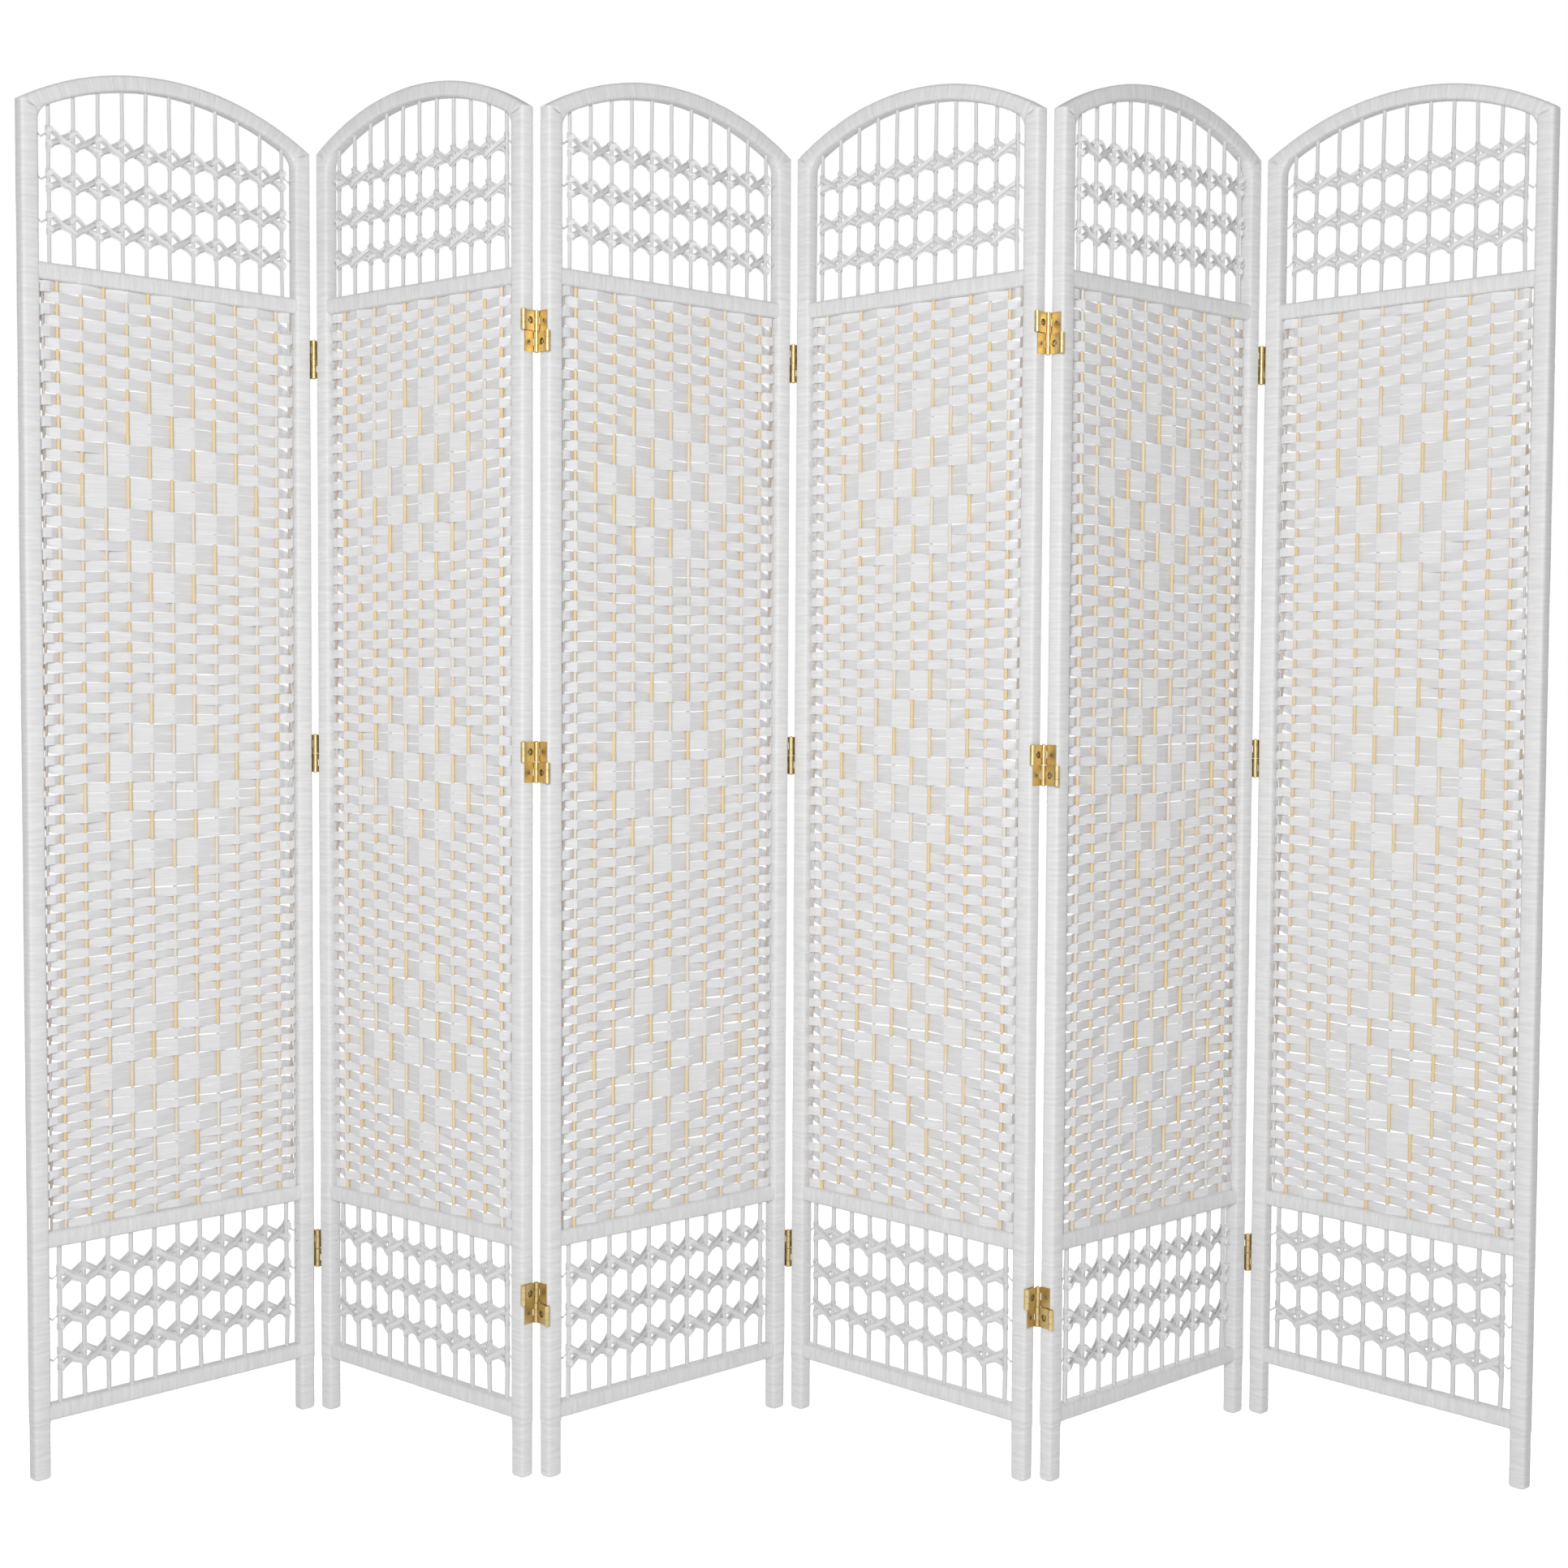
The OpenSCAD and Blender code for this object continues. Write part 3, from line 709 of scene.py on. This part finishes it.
# How a strip passes a spoke: how far along and up from it, half the strip's height there, and how far
# to the back in shares of STRIP_OUT
SHAPES = {
    ("over", "low"): ((-0.0070, -0.0050, 0.0050, -0.8), (-0.0030, -0.0086, 0.0060, -1.0),
                      (0.0000, -0.0102, 0.0056, -1.1), (0.0030, -0.0088, 0.0058, -1.0),
                      (0.0070, -0.0052, 0.0052, -0.7)),
    ("over", "high"): ((-0.0070, 0.0046, 0.0050, 0.2), (-0.0024, 0.0074, 0.0066, 0.8),
                       (0.0024, 0.0078, 0.0060, -1.1), (0.0070, 0.0050, 0.0052, -1.1)),
    ("under", "low"): ((-0.0070, -0.0048, 0.0050, 0.6), (-0.0020, -0.0074, 0.0074, 0.6),
                       (0.0022, -0.0088, 0.0062, -1.0), (0.0070, -0.0054, 0.0050, -0.9)),
    ("under", "high"): ((-0.0070, 0.0044, 0.0050, 0.8), (-0.0030, 0.0056, 0.0070, 1.0),
                        (0.0016, 0.0092, 0.0042, -1.1), (0.0070, 0.0060, 0.0040, -0.8)),
}


def spoke_x(stake):
    return HALF_WIDTH + (stake_x(stake) - HALF_WIDTH) * SPREAD


# The way of a strip past all spokes, its height times share, or a fold of it moved to the front
def strip_route(height, layer, share, forward):
    route = []
    halves = []
    for stake in range(1, LAST_STAKE):
        level = "low" if stake % 2 == (0 if layer == "over" else 1) else "high"
        x = spoke_x(stake)
        for along, rise, half, out in SHAPES[(layer, level)]:
            if stake == 1 and along < -PAST_SPOKE or stake == LAST_STAKE - 1 and along > PAST_SPOKE:
                continue
            route.append(Vector((x + along, out * STRIP_OUT - forward, height + rise)))
            halves.append(half * share)
        if stake < LAST_STAKE - 1:
            route.append(Vector((x + STAKE_PITCH * SPREAD / 2, BETWEEN_OUT[layer] - forward,
                                 height - BETWEEN_SAG)))
            halves.append(BETWEEN_HALF * share)
    return route, halves, STRIP_BULGE if forward else 0


# A thin tie from the end spoke into the post
def tie_route(left, right, height):
    ends = [Vector((x, 0, height + TIE_RISE)) for x in (left, right)]
    middle = Vector(((left + right) / 2, 0, height - TIE_SAG))
    return [ends[0], middle, ends[1]], [TIE_HALF] * 3, TIE_HALF


# Paper wound round a spoke where a strip leaves it
def wrap(x, height, radius):
    bpy.ops.object.select_all(action="DESELECT")
    bpy.ops.mesh.primitive_cylinder_add(vertices=SPOKE_SIDES, radius=radius, depth=WRAP_HEIGHT,
                                        end_fill_type="NOTHING", location=(x, 0, height))
    piece = bpy.context.object
    bpy.ops.object.transform_apply(location=True, rotation=False, scale=False)
    bpy.ops.object.mode_set(mode="EDIT")
    pick(piece, "EDGE", lambda edge: edge.is_boundary)
    bpy.ops.mesh.extrude_edges_move()
    bpy.ops.transform.resize(value=WRAP_END, center_override=(x, 0, height))
    bpy.ops.object.mode_set(mode="OBJECT")
    return piece


# All of one lattice: spokes from foot to top_of, and rows from start above the foot
def lattice_zone(foot, top_of, start, seed, radius, width):
    pieces = []
    for stake in range(1, LAST_STAKE):
        x = spoke_x(stake)
        pieces.append(rod(x, radius, foot, top_of(x), SPOKE_SIDES, SPOKE_BEND, seed + stake))
        for row in range(TWINE_ROWS):
            height = foot + start + row * TWINE_PITCH
            pieces.append(wrap(x, height + WRAP_RISE, radius + WRAP_OVER))
            pieces.append(wrap(x, height - WRAP_RISE, radius + WRAP_OVER))
    for row in range(TWINE_ROWS):
        height = foot + start + row * TWINE_PITCH
        for route in (strip_route(height, "over", width, 0),
                      strip_route(height, "over", width * FOLD_SHARE, FOLD_OUT),
                      strip_route(height, "under", width, 0),
                      strip_route(height, "under", width * FOLD_SHARE, FOLD_OUT),
                      tie_route(POST_WIDTH - TIE_BITE, spoke_x(1), height),
                      tie_route(spoke_x(LAST_STAKE - 1), PANEL_WIDTH - POST_WIDTH + TIE_BITE, height)):
            pieces.append(pull_ribbon(*route))
            thicken(pieces[-1], STRIP_THICK)
    return pieces


lattice = join(lattice_zone(BOTTOM_RAIL + RAIL_HEIGHT, lambda x: LOWER_RAIL, LOW_START, 0,
                            LOW_SPOKE_RADIUS, LOW_WIDTH)
               + lattice_zone(UPPER_RAIL + RAIL_HEIGHT, under_arch, HIGH_START, 40,
                              HIGH_SPOKE_RADIUS, HIGH_WIDTH))
twist_paper, shader, surface = finish_of("twisted_paper", roughness=0.68)
twist_tone = grain(shader, "UV", stretch=(50, 520, 1), scale=1)
paint(shader, surface, twist_tone, TWIST_SHADE, TWIST_WHITE)
emboss(shader, surface, twist_tone, TWIST_RIBS)
for panel in PANELS:
    open_lattice = hang(lattice, panel, "twined_lattice")
    dress(open_lattice, twist_paper, STRIP_CREASE)
    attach(open_lattice, f"panel_{panel}")
    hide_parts(f"panel_{panel}_lattices")
put_away(lattice)


# Hinges
# Stamped brass plates, rolled into knuckles at their edges, turn on two lines of pins. Their CAD
# shapes are right, so they only get their metal, bright with a little tarnish.
BRASS_DULL = (0.37, 0.27, 0.11)
BRASS_BRIGHT = (0.66, 0.53, 0.28)
BRASS_DENTS = 0.0003

hinge_brass, shader, surface = finish_of("polished_brass", roughness=0.38)
surface.inputs["Metallic"].default_value = 1
tarnish = grain(shader, "Object", stretch=(90, 90, 90), scale=1, detail=4)
paint(shader, surface, tarnish, BRASS_DULL, BRASS_BRIGHT)
emboss(shader, surface, tarnish, BRASS_DENTS)
for panel in PANELS:
    for part in ("hinge_leaves", "hinge_links", "hinge_pins"):
        metal = frame["nodes"][f"panel_{panel}_{part}"]
        metal.data.materials.clear()
        metal.data.materials.append(hinge_brass)


# Hinge screws
# Paler countersunk screws with a cross recess take the place of the CAD's plain ones and hold each leaf
# to the side of its post. A screw is set at the outer end of every loose part of the CAD screws. Each has
# five parts, so it gives two screws with their heads flush with the leaf, and three deeper in the post.
HEAD_RADIUS = 0.0027
SHANK_RADIUS = 0.0013
HEAD_DEPTH = 0.0012
SHANK_LENGTH = 0.010
TIP_RADIUS = SHANK_RADIUS / 3
RECESS = 0.0034
RECESS_WIDTH = 0.0009
RECESS_DEPTH = HEAD_DEPTH * 1.6
RECESS_TURN = math.pi / 5
SCREW_SIDES = 24
SCREW_EDGE = 30
SCREW_COLOUR = (0.66, 0.57, 0.44, 1)


# A round piece on the x axis that ends at x and runs from there into the post
def turned(radius_in, radius_out, depth, x):
    bpy.ops.object.select_all(action="DESELECT")
    bpy.ops.mesh.primitive_cone_add(vertices=SCREW_SIDES, radius1=radius_in, radius2=radius_out,
                                    depth=depth, location=(x - depth / 2, 0, 0),
                                    rotation=(0, math.pi / 2, 0))
    piece = bpy.context.object
    bpy.ops.object.transform_apply(location=True, rotation=True, scale=False)
    return piece


# The outer end of each loose part of the CAD screws in the panel's own frame, and the way it faces
def screw_places(panel):
    copies = copy_of(frame["nodes"][f"panel_{panel}_hinge_screws"], "copies")
    copies.data.transform(panel_place(panel).inverted())
    work_on(copies)
    bpy.ops.object.mode_set(mode="EDIT")
    bpy.ops.mesh.select_all(action="SELECT")
    bpy.ops.mesh.separate(type="LOOSE")
    bpy.ops.object.mode_set(mode="OBJECT")
    places = []
    for copy in list(bpy.context.selected_objects):
        low = Vector(copy.bound_box[0])
        high = Vector(copy.bound_box[6])
        facing = 1 if low.x > HALF_WIDTH else -1
        places.append((facing, Vector((high.x if facing > 0 else low.x, (low.y + high.y) / 2,
                                       (low.z + high.z) / 2))))
        put_away(copy)
    return places


screw = turned(SHANK_RADIUS, HEAD_RADIUS, HEAD_DEPTH, 0)
for turn in (RECESS_TURN, RECESS_TURN + math.pi / 2):
    bpy.ops.mesh.primitive_cube_add(size=1, rotation=(turn, 0, 0))
    punch = bpy.context.object
    punch.scale = (RECESS_DEPTH, RECESS_WIDTH, RECESS)
    bpy.ops.object.transform_apply(location=False, rotation=True, scale=True)
    work_on(screw)
    recess = screw.modifiers.new("recess", "BOOLEAN")
    recess.operation = "DIFFERENCE"
    recess.object = punch
    bpy.ops.object.modifier_apply(modifier="recess")
    put_away(punch)
screw = join([screw, turned(TIP_RADIUS, SHANK_RADIUS, SHANK_LENGTH, -HEAD_DEPTH)])

screw_metal, shader, surface = finish_of("screw_metal", roughness=0.4)
surface.inputs["Metallic"].default_value = 1
surface.inputs["Base Color"].default_value = SCREW_COLOUR
for panel in PANELS:
    driven = []
    for facing, place in screw_places(panel):
        driven.append(copy_of(screw, "driven_screw"))
        driven[-1].data.transform(Matrix.Translation(place)
                                  @ Matrix.Rotation(math.pi * (facing < 0), 4, "Z"))
    screws = join(driven)
    hinge_screws = hang(screws, panel, "cross_head_screws")
    dress(hinge_screws, screw_metal, SCREW_EDGE)
    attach(hinge_screws, f"panel_{panel}")
    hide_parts(f"panel_{panel}_hinge_screws")
    put_away(screws)
put_away(screw)


# Setting
# The screen stands on a white studio floor under soft, even light from the front, with a weaker
# lamp behind it that lights its back.
FLOOR_SIZE = 40
FLOOR_GLOW = 0.75
WORLD_LEVEL = 0.27
LAMP_SIZE = 1.0
LAMP_AIM = Vector((0, 0, 0.9))
FRONT_LAMP = Vector((-0.3, -3.4, 1.6))
FRONT_ENERGY = 65
BACK_LAMP = Vector((0.9, 4.2, 2.0))
BACK_ENERGY = 42


# 1 where the camera or a mirroring surface sees it, 0 for the light that it sheds
def seen_directly(shader):
    rays = shader.nodes.new("ShaderNodeLightPath")
    seen = shader.nodes.new("ShaderNodeMath")
    seen.operation = "MAXIMUM"
    shader.links.new(rays.outputs["Is Camera Ray"], seen.inputs[0])
    shader.links.new(rays.outputs["Is Glossy Ray"], seen.inputs[1])
    return seen.outputs[0]


white_floor, shader, surface = finish_of("white_floor", roughness=0.9)
surface.inputs["Base Color"].default_value = (0.9, 0.9, 0.9, 1)
surface.inputs["Emission Color"].default_value = (1, 1, 1, 1)
glow = shader.nodes.new("ShaderNodeMath")
glow.operation = "MULTIPLY"
glow.inputs[1].default_value = FLOOR_GLOW
shader.links.new(seen_directly(shader), glow.inputs[0])
shader.links.new(glow.outputs[0], surface.inputs["Emission Strength"])
bpy.ops.object.select_all(action="DESELECT")
bpy.ops.mesh.primitive_plane_add(size=FLOOR_SIZE)
floor = bpy.context.object
floor.name = "studio_floor"
floor.data.materials.append(white_floor)

world = bpy.data.worlds.new("studio")
bpy.context.scene.world = world
world.use_nodes = True
sky = world.node_tree
backdrop = sky.nodes["Background"]
backdrop.inputs["Color"].default_value = (1, 1, 1, 1)
level = sky.nodes.new("ShaderNodeMapRange")
level.inputs["To Min"].default_value = WORLD_LEVEL
level.inputs["To Max"].default_value = 1
sky.links.new(seen_directly(sky), level.inputs["Value"])
sky.links.new(level.outputs["Result"], backdrop.inputs["Strength"])


def set_lamp(name, place, energy):
    lamp = bpy.data.lights.new(name, "AREA")
    lamp.shape = "DISK"
    lamp.size = LAMP_SIZE
    lamp.energy = energy
    stand = bpy.data.objects.new(name, lamp)
    bpy.context.collection.objects.link(stand)
    stand.location = place
    stand.rotation_euler = (LAMP_AIM - place).to_track_quat("-Z", "Y").to_euler()


set_lamp("front_lamp", FRONT_LAMP, FRONT_ENERGY)
set_lamp("back_lamp", BACK_LAMP, BACK_ENERGY)
bpy.context.scene.view_settings.view_transform = "Standard"


# Camera
# The photograph was taken from the front, at about half the screen's height and 2.7 m before panel 1.
FROM_FIRST_POST = Vector((0.903, -2.6824, 0.977))
FOCAL_PIXELS = 2783
IMAGE_PIXELS = 1932
SENSOR_WIDTH = 36
DOWNWARD = math.radians(2.76)
ROLL = math.radians(0.32)

camera = bpy.data.objects.new("camera", bpy.data.cameras.new("camera"))
bpy.context.collection.objects.link(camera)
camera.data.sensor_width = SENSOR_WIDTH
camera.data.lens = FOCAL_PIXELS / IMAGE_PIXELS * SENSOR_WIDTH
camera.matrix_world = (Matrix.Translation(panel_place(1).translation + FROM_FIRST_POST)
                       @ Matrix.Rotation(math.pi / 2 - DOWNWARD, 4, "X") @ Matrix.Rotation(ROLL, 4, "Z"))
bpy.context.scene.camera = camera
